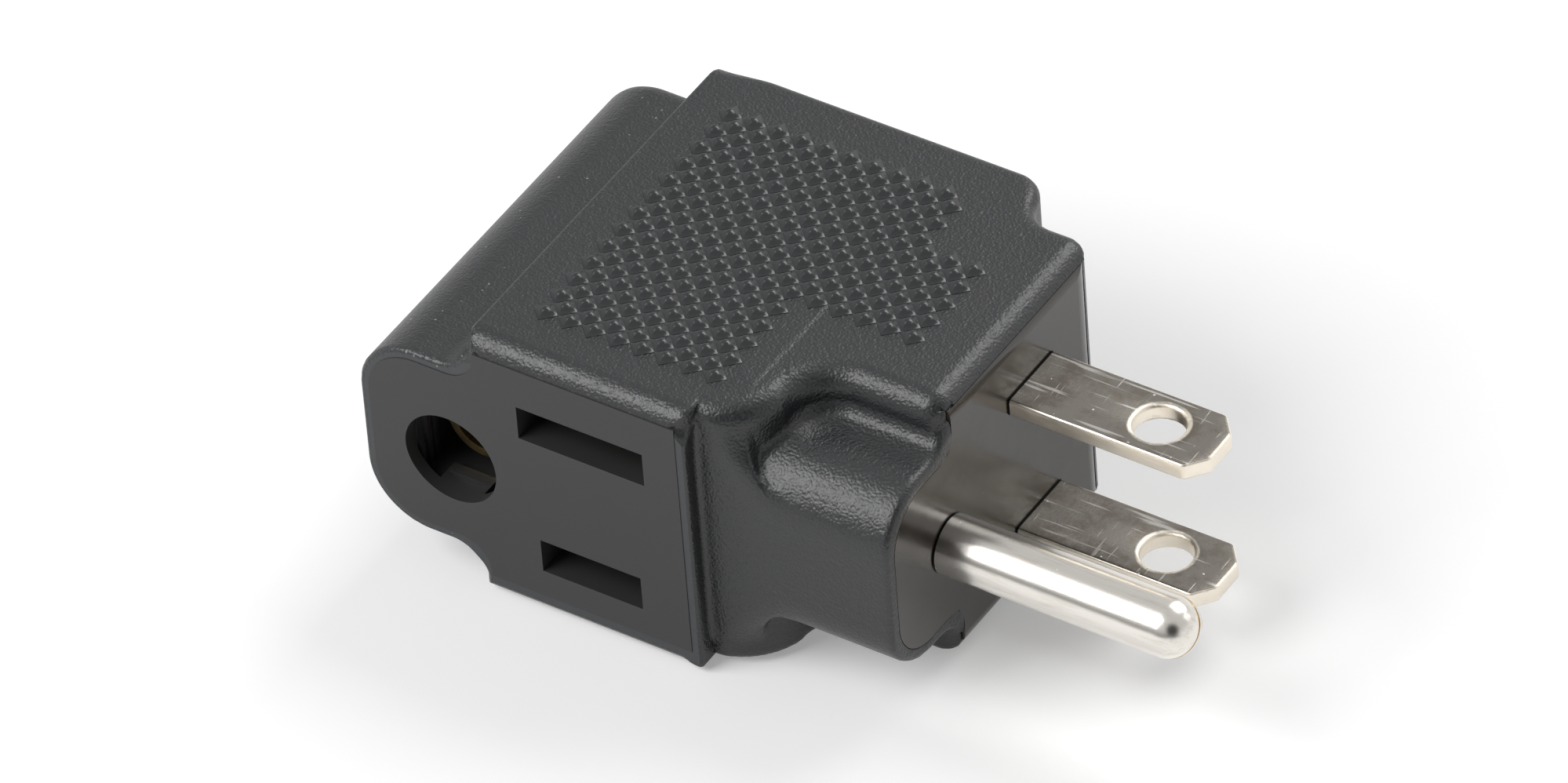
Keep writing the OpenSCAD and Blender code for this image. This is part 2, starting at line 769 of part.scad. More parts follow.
module neutral_rivet() {
    color("#c8b273") translate(to_ground) rivet_neutral();
}

module ground_pin_rivet() {
    color("#c8b273") translate(to_ground) rivet_pin();
}

module ground_contact_rivet() {
    color("#c8b273") translate(to_ground) rivet(ground_x, link_y, pin_wall - strip_t, 2 * strip_t);
}

outer_jacket();
receptacle_core();
core_cover();
plug_bridge();
bridge_clamp();
line_blade();
neutral_blade();
ground_pin();
line_contact();
neutral_contact();
ground_contact();
ground_link();
line_rivet();
neutral_rivet();
ground_pin_rivet();
ground_contact_rivet();
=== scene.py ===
"""Right angle plug adapter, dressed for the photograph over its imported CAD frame.

Lengths are in metres. The forms are worked out on the design axes of the CAD model: +X runs
along the blades out of the plug, the outlet faces -Y and +Z is up, with zero where the plug
face meets the line midway between the blades. TO_ROW carries them into the shared frame.
"""
import logging
import math
from dataclasses import dataclass, field
from enum import Enum
from typing import Any, Callable, Sequence

import bpy
import numpy as np
from mathutils import Matrix, Vector


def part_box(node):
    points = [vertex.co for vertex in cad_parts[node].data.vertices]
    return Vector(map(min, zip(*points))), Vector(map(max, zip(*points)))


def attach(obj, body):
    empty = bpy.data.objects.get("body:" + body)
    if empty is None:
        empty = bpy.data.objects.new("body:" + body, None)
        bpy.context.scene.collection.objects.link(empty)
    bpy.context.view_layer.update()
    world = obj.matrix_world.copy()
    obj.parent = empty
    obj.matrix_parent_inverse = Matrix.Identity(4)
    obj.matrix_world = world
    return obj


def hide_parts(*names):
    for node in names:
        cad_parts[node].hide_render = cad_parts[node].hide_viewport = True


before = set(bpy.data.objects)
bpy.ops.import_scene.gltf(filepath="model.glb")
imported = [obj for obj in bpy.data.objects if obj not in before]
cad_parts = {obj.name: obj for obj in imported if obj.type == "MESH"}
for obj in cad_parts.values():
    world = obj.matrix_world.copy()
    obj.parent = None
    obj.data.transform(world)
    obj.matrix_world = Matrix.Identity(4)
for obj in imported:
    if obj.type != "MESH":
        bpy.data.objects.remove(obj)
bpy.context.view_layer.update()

MM = 0.001
TO_ROW = np.array([11.9, 3.975, 12.25]) * MM
PIN_TURN = math.radians(-42)
# Painted shade: the blades and the pin are near black up to here out of the plug's face, for the shade in the gaps
# at their roots.
ROOT_SHADE = 0.1 * MM
LOG = logging.getLogger("adapter")
Array = np.ndarray
Field = Callable[[Array, Array, Array], Array]


# ---- forms as distances: negative inside, zero on the surface, positive outside


def rolled(a: Array, b: Array, r: Any) -> Array:
    """Common part of two forms, with the edge where they meet rolled over.

    Within r of both surfaces the distance is that from an arc of radius r, elsewhere the larger one.

    Args:
        a: Distances to the first form.
        b: Distances to the second form.
        r: Radius of the roll, a number or one for each point.

    Returns:
        Distances to the common part.
    """
    return np.minimum(np.maximum(a, b), -r) + np.hypot(np.maximum(a + r, 0), np.maximum(b + r, 0))


def hollowed(a: Array, b: Array, r: Any) -> Array:
    """Two forms joined, with a hollow of radius r in the corner between them.

    Args:
        a: Distances to the first form.
        b: Distances to the second form.
        r: Radius of the hollow, a number or one for each point.

    Returns:
        Distances to both together.
    """
    return np.maximum(np.minimum(a, b), r) - np.hypot(np.maximum(r - a, 0), np.maximum(r - b, 0))


def rounded_rect(u: Array, v: Array, low: Sequence[float], high: Sequence[float], r: float) -> Array:
    """Flat rectangle with round corners: the distance from a smaller rectangle, less r.

    Args:
        u: First coordinate of the points.
        v: Second coordinate of the points.
        low: Lowest corner.
        high: Highest corner.
        r: Corner radius.

    Returns:
        Distances in the plane.
    """
    du = np.abs(u - (low[0] + high[0]) / 2) - (high[0] - low[0]) / 2 + r
    dv = np.abs(v - (low[1] + high[1]) / 2) - (high[1] - low[1]) / 2 + r
    return np.minimum(np.maximum(du, dv), 0) + np.hypot(np.maximum(du, 0), np.maximum(dv, 0)) - r


def ease(t: Array, start: float, end: float) -> Array:
    """Smooth step from 0 at start to 1 at end: 3s^2 - 2s^3 of the clamped share s."""
    s = np.clip((t - start) / (end - start), 0, 1)
    return s * s * (3 - 2 * s)


def slope(form: Field, p: Array, step: float = 0.01 * MM) -> Array:
    """Unit gradient of a form's distance at points p, by central differences."""
    g = np.stack([form(*(p + d).T) - form(*(p - d).T) for d in np.eye(3) * step], axis=1)
    return g / np.maximum(np.linalg.norm(g, axis=1, keepdims=True), 1e-12)


def skin(form: Field, low: Array, high: Array, cell: float) -> tuple[Array, Array, Array]:
    """Surface where a form's distance is zero, as one point for each cell that it crosses.

    Every grid edge that the surface crosses gives a point and its normal. The point of a cell is
    the one that lies nearest to all the planes through its crossings, so that edges stay sharp,
    and every crossed edge gives the face that joins the four cells round it.

    Args:
        form: The distance function.
        low: Lowest corner of the grid.
        high: Highest corner of the grid.
        cell: Side of a cell.

    Returns:
        Points, faces of four points each, and the normal at each point.
    """
    axes = [np.arange(low[k], high[k] + cell, cell) for k in range(3)]
    values = form(*np.meshgrid(*axes, indexing="ij"))
    counts = np.array(values.shape) - 1
    strides = np.array([counts[1] * counts[2], counts[2], 1])
    owners, points, flips = [], [], []
    for axis in range(3):
        near = np.take(values, range(counts[axis]), axis)
        far = np.take(values, range(1, counts[axis] + 1), axis)
        at = np.argwhere((near < 0) != (far < 0))
        others = [k for k in range(3) if k != axis]
        at = at[np.all((at[:, others] > 0) & (at[:, others] < counts[others]), axis=1)]
        lo = np.stack([axes[k][at[:, k]] for k in range(3)], axis=1)
        first = near[tuple(at.T)]
        span, back = np.zeros(len(at)), np.ones(len(at))
        for _ in range(12):
            mid = (span + back) / 2
            probe = lo.copy()
            probe[:, axis] += mid * cell
            same = (form(*probe.T) < 0) == (first < 0)
            span, back = np.where(same, mid, span), np.where(same, back, mid)
        lo[:, axis] += (span + back) / 2 * cell
        u, v = np.eye(3, dtype=int)[[(axis + 1) % 3, (axis + 2) % 3]]
        ring = np.stack([(at - u - v) @ strides, (at - v) @ strides, at @ strides, (at - u) @ strides], axis=1)
        owners.append(ring)
        points.append(lo)
        flips.append(first > 0)
    ring, hit, flip = np.concatenate(owners), np.concatenate(points), np.concatenate(flips)
    normal = slope(form, hit)
    cells, place = np.unique(ring, return_inverse=True)
    place = place.reshape(ring.shape)
    n = len(cells)
    flat, many = place.ravel(), lambda a: np.repeat(a, 4, axis=0)
    total = lambda w: np.bincount(flat, weights=many(w), minlength=n)
    share = total(np.ones(len(hit)))
    middle = np.stack([total(hit[:, k]) for k in range(3)], axis=1) / share[:, None]
    pull = 0.06
    lhs = np.stack([np.stack([total(normal[:, i] * normal[:, j]) for j in range(3)], 1) for i in range(3)], 1)
    reach = np.sum(normal * hit, axis=1)
    rhs = np.stack([total(normal[:, k] * reach) for k in range(3)], axis=1)
    lhs += pull * np.eye(3)
    p = np.linalg.solve(lhs, (rhs + pull * middle)[..., None])[..., 0]
    index = np.stack(np.unravel_index(cells, counts), axis=1)
    corner = np.array([a[0] for a in axes]) + index * cell
    p = np.clip(p, corner, corner + cell)
    faces = np.where(flip[:, None], place[:, ::-1], place)
    return p, faces, slope(form, p)


# ---- meshes


def as_piece(name: str, points: Array, faces: Any, material: bpy.types.Material,
             normals: Array | None = None, smooth: bool = True, crease: float = 40.0) -> bpy.types.Object:
    """Makes a piece from points on the design axes and lets it ride on the frame's one body.

    Args:
        name: Name of the piece.
        points: Its points on the design axes.
        faces: Its faces, an array or a list of rows of point numbers.
        material: Its finish.
        normals: The true normal at each point, or None to take them from the faces.
        smooth: Whether it is shaded smooth.
        crease: Angle in degrees above which an edge stays sharp.

    Returns:
        The new object.
    """
    rows = faces.tolist() if isinstance(faces, np.ndarray) else faces
    mesh = bpy.data.meshes.new(name)
    mesh.from_pydata((points + TO_ROW).tolist(), [], rows)
    mesh.validate()
    mesh.polygons.foreach_set("use_smooth", np.full(len(mesh.polygons), smooth))
    if normals is None:
        mesh.set_sharp_from_angle(angle=math.radians(crease))
    else:
        corner = np.empty(len(mesh.loops), np.int32)
        mesh.loops.foreach_get("vertex_index", corner)
        sides = np.empty(len(mesh.polygons), np.int32)
        mesh.polygons.foreach_get("loop_total", sides)
        flat = np.empty(len(mesh.polygons) * 3, np.float32)
        mesh.polygons.foreach_get("normal", flat)
        flat = np.repeat(flat.reshape(-1, 3), sides, axis=0)
        true = normals[corner]
        keep = np.sum(true * flat, axis=1) > math.cos(math.radians(crease))
        mesh.normals_split_custom_set(np.where(keep[:, None], true, flat).tolist())
    mesh.materials.append(material)
    piece = bpy.data.objects.new(name, mesh)
    bpy.context.scene.collection.objects.link(piece)
    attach(piece, "root")
    LOG.info("%s: %d points, %d faces", name, len(mesh.vertices), len(mesh.polygons))
    return piece


def grid_faces(rows: int, columns: int, wrap_rows: bool = False, wrap_columns: bool = False) -> Array:
    """Faces of a grid of points numbered row by row.

    Args:
        rows: Number of rows.
        columns: Number of points in a row.
        wrap_rows: Whether the last row joins the first.
        wrap_columns: Whether a row's last point joins its first.

    Returns:
        Rows of four point numbers.
    """
    i = np.arange(rows if wrap_rows else rows - 1)[:, None]
    j = np.arange(columns if wrap_columns else columns - 1)[None, :]
    below, next_j = (i + 1) % rows, (j + 1) % columns
    quads = [i * columns + j, i * columns + next_j, below * columns + next_j, below * columns + j]
    return np.stack(np.broadcast_arrays(*quads), axis=-1).reshape(-1, 4)


# ---- shader nodes written as Python expressions


class Signal:
    """A shader socket that carries a number. Python's operators on it add Math nodes."""

    def __init__(self, net: "Net", socket: bpy.types.NodeSocket) -> None:
        """Keeps the socket and the net that it belongs to."""
        self.net, self.socket = net, socket

    def _math(self, operation: str, a: Any, b: Any) -> "Signal":
        """Adds one Math node on two values."""
        return self.net.number("ShaderNodeMath", {"operation": operation}, {0: a, 1: b})

    def __add__(self, other: Any) -> "Signal":
        """Sum."""
        return self._math("ADD", self, other)

    __radd__ = __add__

    def __sub__(self, other: Any) -> "Signal":
        """Difference."""
        return self._math("SUBTRACT", self, other)

    def __rsub__(self, other: Any) -> "Signal":
        """Difference from a plain number."""
        return self._math("SUBTRACT", other, self)

    def __mul__(self, other: Any) -> "Signal":
        """Product."""
        return self._math("MULTIPLY", self, other)

    __rmul__ = __mul__

    def __truediv__(self, other: Any) -> "Signal":
        """Quotient."""
        return self._math("DIVIDE", self, other)

    def __abs__(self) -> "Signal":
        """Size without its sign."""
        return self._math("ABSOLUTE", self, 0.0)

    def larger(self, other: Any) -> "Signal":
        """The larger of two values."""
        return self._math("MAXIMUM", self, other)

    def eased(self, start: float, end: float) -> "Signal":
        """Smooth step from 0 at start to 1 at end."""
        return self.net.number("ShaderNodeMapRange", {"interpolation_type": "SMOOTHSTEP"},
                               {"Value": self, "From Min": start, "From Max": end})


class Net:
    """The node tree of one material or world."""

    def __init__(self, tree: bpy.types.NodeTree) -> None:
        """Empties the tree."""
        self.tree = tree
        tree.nodes.clear()

    def node(self, kind: str, settings: dict[str, Any] | None = None,
             inputs: dict[Any, Any] | None = None) -> bpy.types.Node:
        """Adds a node.

        Args:
            kind: Type of the node.
            settings: Its own properties, set first.
            inputs: Values or links of its sockets, by name or number.

        Returns:
            The node.
        """
        made = self.tree.nodes.new(kind)
        for key, value in (settings or {}).items():
            setattr(made, key, value)
        for key, value in (inputs or {}).items():
            source = value.socket if isinstance(value, Signal) else value
            if isinstance(source, bpy.types.NodeSocket):
                self.tree.links.new(source, made.inputs[key])
            else:
                made.inputs[key].default_value = source
        return made

    def number(self, kind: str, settings: dict[str, Any] | None = None,
               inputs: dict[Any, Any] | None = None, output: Any = 0) -> Signal:
        """Adds a node and wraps one of its outputs."""
        return Signal(self, self.node(kind, settings, inputs).outputs[output])

    def place(self, stretch: Sequence[float] = (1, 1, 1), turn: Sequence[float] = (0, 0, 0)) -> bpy.types.NodeSocket:
        """Object coordinates, stretched and turned by a Mapping node."""
        spot = self.node("ShaderNodeTexCoord").outputs["Object"]
        return self.node("ShaderNodeMapping", inputs={"Vector": spot, "Scale": stretch, "Rotation": turn}).outputs[0]

    def axis(self, vector: bpy.types.NodeSocket, name: str) -> Signal:
        """One coordinate of a vector."""
        return self.number("ShaderNodeSeparateXYZ", inputs={0: vector}, output=name)

    def noise(self, size: float, detail: float = 3.0, rough: float = 0.55,
              stretch: Sequence[float] = (1, 1, 1), turn: Sequence[float] = (0, 0, 0)) -> Signal:
        """Noise whose lumps are about size metres across, from 0 to 1."""
        return self.number("ShaderNodeTexNoise", inputs={
            "Vector": self.place(stretch, turn), "Scale": 1 / size, "Detail": detail, "Roughness": rough})

    def specks(self, spacing: float, radius: float, share: float) -> Signal:
        """Round specks: 1 inside radius of a cell's point, in the given share of the cells."""
        cells = self.node("ShaderNodeTexVoronoi", {"feature": "F1"},
                          {"Vector": self.place(), "Scale": 1 / spacing})
        dot = 1 - Signal(self, cells.outputs["Distance"]).eased(0.5 * radius / spacing, radius / spacing)
        chosen = self.number("ShaderNodeSeparateColor", inputs={0: cells.outputs["Color"]})
        return dot * (1 - chosen.eased(share, share + 0.01))

    def blend(self, share: Any, a: Any, b: Any) -> bpy.types.NodeSocket:
        """Mixes two colours: a where share is 0 and b where it is 1."""
        made = self.node("ShaderNodeMix", {"data_type": "RGBA"}, {0: share, 6: a, 7: b})
        return made.outputs[2]

    def bump(self, height: Signal, distance: float, strength: float, under: Any = None) -> bpy.types.NodeSocket:
        """Bump node over an optional lower bump."""
        links = {"Height": height, "Distance": distance, "Strength": strength}
        if under is not None:
            links["Normal"] = under
        return self.node("ShaderNodeBump", inputs=links).outputs[0]


def grey(value: float, warm: float = 0.0) -> tuple[float, float, float, float]:
    """A grey, warmed a little towards red where warm is above zero."""
    return (value * (1 + warm), value, value * (1 - warm), 1.0)


class Finish:
    """A surface finish. Its paint method lays the nodes down and returns the shader's inputs."""

    name = "finish"

    def paint(self, net: Net) -> dict[str, Any]:
        """Lays the nodes down."""
        raise NotImplementedError

    def material(self) -> bpy.types.Material:
        """Makes the material from what paint returns."""
        made = bpy.data.materials.new(self.name)
        made.use_nodes = True
        net = Net(made.node_tree)
        shader = net.node("ShaderNodeBsdfPrincipled", inputs=self.paint(net))
        net.node("ShaderNodeOutputMaterial", inputs={"Surface": shader.outputs[0]})
        return made


@dataclass(frozen=True)
class GrainedPlastic(Finish):
    """Black moulding with a fine spark-eroded grain, specks of dust and a few scuffs."""

    name: str = "grained_plastic"
    tone: float = 0.007
    gloss: float = 0.34
    grain: float = 0.2 * MM
    depth: float = 0.09 * MM
    face_tone: float = 0.026
    cool: float = -0.16

    def paint(self, net: Net) -> dict[str, Any]:
        """The grain is two noises in the bump. The outlet's face is smoother and paler."""
        coarse = net.noise(2.2 * self.grain, 1)
        fine = net.noise(self.grain, 0.5, 0.5)
        cloud = net.noise(9 * MM, 3)
        spot = net.node("ShaderNodeTexCoord").outputs
        front = (0 - net.axis(spot["Normal"], "Y")).eased(0.96, 0.995)
        level = (0 - net.axis(spot["Object"], "Y")).eased(17.6 * MM, 17.65 * MM)
        face = front * level
        dust = net.specks(2.4 * MM, 0.09 * MM, 0.22) + net.specks(1.1 * MM, 0.05 * MM, 0.12)
        plain = net.blend(cloud, grey(self.tone * 0.85, self.cool), grey(self.tone * 1.2, self.cool))
        base = net.blend(face, plain, grey(self.face_tone, self.cool))
        place = spot["Object"]
        ledge = (0 - net.axis(place, "X")).eased(35.6 * MM - TO_ROW[0], 36.1 * MM - TO_ROW[0])
        ledge = ledge * net.axis(place, "Z").eased(4 * MM + TO_ROW[2], 8 * MM + TO_ROW[2])
        base = net.blend(dust * 0.4, base, grey(0.3))
        base = net.blend(ledge * net.specks(0.7 * MM, 0.11 * MM, 0.22) * 0.5, base, grey(0.4))
        height = fine * 0.6 + coarse * 0.4
        rough = self.gloss + fine * 0.1 + cloud * 0.05 + face * 0.1
        strength = 1 - face * 0.85
        return {"Base Color": base, "Roughness": rough, "Specular IOR Level": 0.72,
                "Normal": net.bump(height * strength, self.depth, 1.0)}


@dataclass(frozen=True)
class SatinPlastic(Finish):
    """Smooth dark plastic of the outlet's core, with faint flow marks and fine specks."""

    name: str = "satin_plastic"
    tone: float = 0.028

    def paint(self, net: Net) -> dict[str, Any]:
        """A soft noise drifts the tone and the gloss, and specks of dust lie on top."""
        cloud = net.noise(7 * MM, 4, 0.6)
        fine = net.noise(0.18 * MM, 3, 0.6)
        dust = net.specks(3.2 * MM, 0.07 * MM, 0.25)
        base = net.blend(cloud, grey(self.tone * 0.9), grey(self.tone * 1.1))
        base = net.blend(dust * 0.5, base, grey(0.35))
        return {"Base Color": base, "Roughness": 0.42 + cloud * 0.08 + fine * 0.06,
                "Normal": net.bump(fine, 0.006 * MM, 0.8)}


@dataclass(frozen=True)
class GlossyPlastic(Finish):
    """Glossy brown-black plastic of the plug's bridge, with smudges and dust."""

    name: str = "glossy_plastic"
    tone: float = 0.016

    def paint(self, net: Net) -> dict[str, Any]:
        """Smudges dull the gloss in patches, and dust stands out as pale points."""
        smudge = net.noise(3.5 * MM, 5, 0.65).eased(0.4, 0.7)
        ripple = net.noise(1.4 * MM, 2)
        dust = net.specks(1.7 * MM, 0.08 * MM, 0.3) + net.specks(0.8 * MM, 0.04 * MM, 0.2)
        base = net.blend(dust * 0.35, grey(self.tone, 0.3), grey(0.25, 0.05))
        return {"Base Color": base, "Roughness": 0.16 + smudge * 0.1 + dust * 0.2, "Specular IOR Level": 0.7,
                "Normal": net.bump(ripple, 0.008 * MM, 0.6)}


@dataclass(frozen=True)
class NickelPlate(Finish):
    """Worn nickel plate: patches, scratches, pits, a paler ring round the hole, painted reflection and painted root
    shade.
    """

    name: str = "nickel_plate"
    tone: tuple[float, float, float] = (0.3, 0.28, 0.25)
    dull: tuple[float, float, float] = (0.17, 0.15, 0.125)
    # Pale tone laid on the sides as painted reflection, and on a ring round the hole.
    sheen_and_ring_tone: tuple[float, float, float] = (0.88, 0.81, 0.7)
    gloss: float = 0.2
    hole_x: float = 11.1 * MM
    hole_rim: float = 2.3 * MM

    def paint(self, net: Net) -> dict[str, Any]:
        """Long thin noise makes the scratches, two clouds the patches, and specks the pits.

        Faces that lean away from level are painted paler as painted reflection, and a ring round the hole is paler
        too; the root is painted near black as painted shade.
        """
        spot = net.node("ShaderNodeTexCoord").outputs
        lean = 1 - abs(net.axis(spot["Normal"], "Z")).eased(0.75, 0.985)
        x = net.axis(spot["Object"], "X") - (self.hole_x + TO_ROW[0])
        y = net.axis(spot["Object"], "Y") - TO_ROW[1]
        out = (x * x + y * y) * 1e6
        ring = 1 - out.eased((self.hole_rim / MM) ** 2, (self.hole_rim / MM + 0.3) ** 2)
        patch = net.noise(2.2 * MM, 6, 0.7).eased(0.42, 0.62)
        fine = net.noise(0.35 * MM, 4, 0.7)
        # Painted reflection: faces leaning away from level are painted paler; a ring round the hole, the patches and
        # fine noise add to the same mask.
        sheen_and_ring = (lean + ring * 0.6 + patch * 0.2 - 0.1 + fine * 0.1).eased(0.3, 0.9)
        along = net.noise(0.5 * MM, 2, 0.5, (0.06, 1, 1)).eased(0.62, 0.7)
        across = net.noise(0.3 * MM, 2, 0.5, (1, 0.05, 1), (0, 0, 0.5)).eased(0.66, 0.72)
        scratch = along.larger(across * 0.6)
        pits = net.specks(1.1 * MM, 0.12 * MM, 0.35)
        base = net.blend(patch * 0.75 + fine * 0.25, (*self.tone, 1), (*self.dull, 1))
        base = net.blend(sheen_and_ring, base, (*self.sheen_and_ring_tone, 1))
        base = net.blend(pits.larger(scratch * 0.45) * 0.8, base, grey(0.85, 0.03))
        # Painted shade: the blade is near black up to 0.1 mm out of the plug's face, fading by 0.18 mm, for the
        # shade in the gap at its root.
        base = net.blend(1 - x.eased(ROOT_SHADE - self.hole_x, ROOT_SHADE + 0.08 * MM - self.hole_x), base, grey(0.01))
        rough = self.gloss + patch * 0.12 + fine * 0.1 + scratch * 0.15 + sheen_and_ring * 0.08
        height = scratch * 0.8 + fine * 0.5 + pits * 0.8
        return {"Base Color": base, "Metallic": 1.0, "Roughness": rough,
                "Normal": net.bump(height, 0.012 * MM, 0.8)}


@dataclass(frozen=True)
class PinPlate(Finish):
    """Bright nickel over the rolled ground pin, worn to brass along its seam."""

    name: str = "pin_plate"
    tone: tuple[float, float, float] = (0.78, 0.75, 0.70)
    brass: tuple[float, float, float] = (0.62, 0.42, 0.16)
    seam: float = 0.17 * MM
    centre_y: float = -11.9 * MM

    def paint(self, net: Net) -> dict[str, Any]:
        """Brass shows along the turned seam and over the split tip, worn streaks run along it, and its root is
        painted near black as painted shade.
        """
        spot = net.node("ShaderNodeTexCoord").outputs["Object"]
        y = net.axis(spot, "Y") - (self.centre_y + TO_ROW[1])
        z = net.axis(spot, "Z") - TO_ROW[2]
        off = abs(y * math.cos(PIN_TURN) + z * math.sin(PIN_TURN))
        below = y * math.sin(PIN_TURN) - z * math.cos(PIN_TURN)
        fray = net.noise(0.5 * MM, 3, 0.6, (0.3, 1, 1)) * 0.16 * MM
        worn = 1 - (off + fray).eased(self.seam, self.seam * 1.7)
        tip = net.axis(spot, "X").eased(18.4 * MM + TO_ROW[0], 19.4 * MM + TO_ROW[0])
        worn = worn * below.eased(-0.4 * MM, 1.2 * MM).larger(tip)
        streak = net.noise(0.6 * MM, 5, 0.7, (0.1, 1, 1))
        fine = net.noise(0.3 * MM, 3, 0.7)
        pits = net.specks(0.8 * MM, 0.07 * MM, 0.2)
        base = net.blend(streak.eased(0.45, 0.75) * 0.5, (*self.tone, 1), (0.5, 0.45, 0.38, 1))
        base = net.blend(worn, base, (*self.brass, 1))
        # Painted shade: the pin is near black up to 0.1 mm out of the plug's face, fading by 0.18 mm, for the shade
        # in the gap at its root.
        root = 1 - (net.axis(spot, "X") - TO_ROW[0]).eased(ROOT_SHADE, ROOT_SHADE + 0.08 * MM)
        base = net.blend(root, base, grey(0.01))
        height = streak * 0.7 + fine * 0.3 - pits * 0.5
        return {"Base Color": base, "Metallic": 1.0, "Roughness": 0.15 + streak * 0.16 + worn * 0.1 + pits * 0.2,
                "Normal": net.bump(height, 0.012 * MM, 0.6)}


@dataclass(frozen=True)
class SpringBrass(Finish):
    """Tarnished brass strip of the contacts, the link and the rivets."""

    name: str = "spring_brass"
    tone: tuple[float, float, float] = (0.52, 0.39, 0.17)

    def paint(self, net: Net) -> dict[str, Any]:
        """Clouds of tarnish over fine lines from the rolling mill."""
        cloud = net.noise(1.8 * MM, 5, 0.65).eased(0.35, 0.7)
        lines = net.noise(0.25 * MM, 2, 0.5, (0.05, 1, 1))
        base = net.blend(cloud * 0.7, (*self.tone, 1), (0.2, 0.13, 0.07, 1))
        return {"Base Color": base, "Metallic": 1.0, "Roughness": 0.3 + cloud * 0.2,
                "Normal": net.bump(lines, 0.006 * MM, 0.6)}


# ---- the adapter's pieces


@dataclass
class Jacket:
    """Outer moulding: outlet block and its tongue, plug head and its tongue, shoulder, scoop and web."""

    top: float = 12.9 * MM
    bottom: float = -11.8 * MM
    front: float = -21.7 * MM
    back: float = 13.8 * MM
    left: float = -35.3 * MM
    right: float = -16.1 * MM
    nose: float = -45.0 * MM
    outlet_half: float = 8.8 * MM
    plug_nose: float = -20.2 * MM
    plug_half: float = 8.5 * MM
    tongue_r: float = 5.2 * MM
    tongue_back: float = 13.6 * MM
    tongue_roll: float = 2.2 * MM
    head_front: float = -11.8 * MM
    head_back: float = 9.4 * MM
    shoulder: float = -6.2 * MM
    shoulder_r: float = 2.6 * MM
    roll: float = 1.9 * MM
    back_roll: float = 0.9 * MM
    block_corner: float = 1.7 * MM
    crisp: float = 0.35 * MM
    hollow: float = 2.6 * MM
    valley: float = 0.8 * MM
    swell: float = 0.7 * MM
    swell_reach: float = 2.4 * MM
    lip: float = 0.5 * MM
    scoop: tuple[float, float] = (-7.3 * MM, -15.5 * MM)
    scoop_r: float = 3.7 * MM
    web: tuple[float, float] = (-16.82 * MM, -14.3 * MM)
    web_r: float = 6.0 * MM
    dell: tuple[float, float] = (-10.6 * MM, -17.6 * MM)
    dell_r: float = 1.4 * MM
    ramp_x: float = -9.9 * MM
    ramp_slope: float = 0.92
    ramp_top: float = 3.6 * MM
    bridge_rim: float = 1.1 * MM
    bridge_depth: float = 3.3 * MM
    seam: float = 0.05 * MM
    cell: float = 0.34 * MM

    @property
    def middle(self) -> float:
        """Level of the jacket's middle."""
        return (self.top + self.bottom) / 2

    @property
    def half(self) -> float:
        """Half the jacket's thickness."""
        return (self.top - self.bottom) / 2

    def outlet_part(self, x: Array, y: Array, z: Array) -> Array:
        """Outlet block and tongue: a square and a round ended bar along Y, with a hollow between them.

        Behind the scoop the block's right side moves inward, to lie hidden in the plug's part.
        """
        hidden = np.where(x > -25 * MM, ease(y, -18 * MM, -14 * MM), 0)
        block = rounded_rect(x - 2.5 * MM * hidden, z, (self.left, self.bottom), (self.right, self.top), self.crisp)
        block = block + 0.03 * MM * hidden
        bar = rounded_rect(x, z, (self.nose, self.middle - self.outlet_half),
                           (self.left + 10 * MM, self.middle + self.outlet_half), self.tongue_r)
        bar = rolled(bar, y - self.tongue_back, self.tongue_roll)
        fillet = self.hollow - (self.hollow - 0.4 * MM) * ease(y, 9 * MM, 12 * MM)
        form = hollowed(block, bar, fillet)
        corner = self.back_roll + (self.block_corner - self.back_roll) * ease(-x, 30.3 * MM, 34.8 * MM)
        form = rolled(form, y - self.back, corner)
        high = ease(z, self.top - 3 * MM, self.top - 1.2 * MM) * ease(x, self.left - 0.4 * MM, self.left + 0.1 * MM)
        low = ease(-z, -self.bottom - 3 * MM, -self.bottom - 1.2 * MM)
        side = ease(x, self.right - 2 * MM, self.right - 0.5 * MM)
        edge = self.crisp + (self.roll - self.crisp) * high
        edge = np.maximum(edge, self.crisp + 0.5 * MM * low * (1 - side)) * (1 - 0.35 * side * (1 - high))
        return rolled(form, self.front - y, edge)

    def plan(self, x: Array, y: Array) -> Array:
        """Plan of the full thickness: block, head, shoulder and web, less the scoop."""
        block = rounded_rect(x, y, (-30 * MM, -18 * MM), (self.right, self.back), 0)
        head = rounded_rect(x, y, (-30 * MM, self.head_front), (6 * MM, self.head_back), 0)
        back = rounded_rect(x, y, (-30 * MM, -5 * MM), (self.shoulder, self.back), self.shoulder_r)
        disc = np.hypot(x - self.web[0], y - self.web[1]) - self.web_r
        run = np.array(self.scoop) - np.array(self.web)
        run = run / np.hypot(*run)
        below = (x - self.web[0]) * run[1] - (y - self.web[1]) * run[0]
        wedge = np.maximum.reduce([below, x - self.scoop[0], self.web[0] - x, y - self.head_front - 3 * self.roll])
        form = np.minimum.reduce([block, hollowed(head, back, self.shoulder_r), disc, wedge])
        return np.maximum(form, -self.scoop_wall(x, y))

    def scoop_wall(self, x: Array, y: Array) -> Array:
        """Distance to the scoop's wall: half a circle at its left end, then straight to the plug's face."""
        return np.hypot(np.minimum(x - self.scoop[0], 0), y - self.scoop[1]) - self.scoop_r

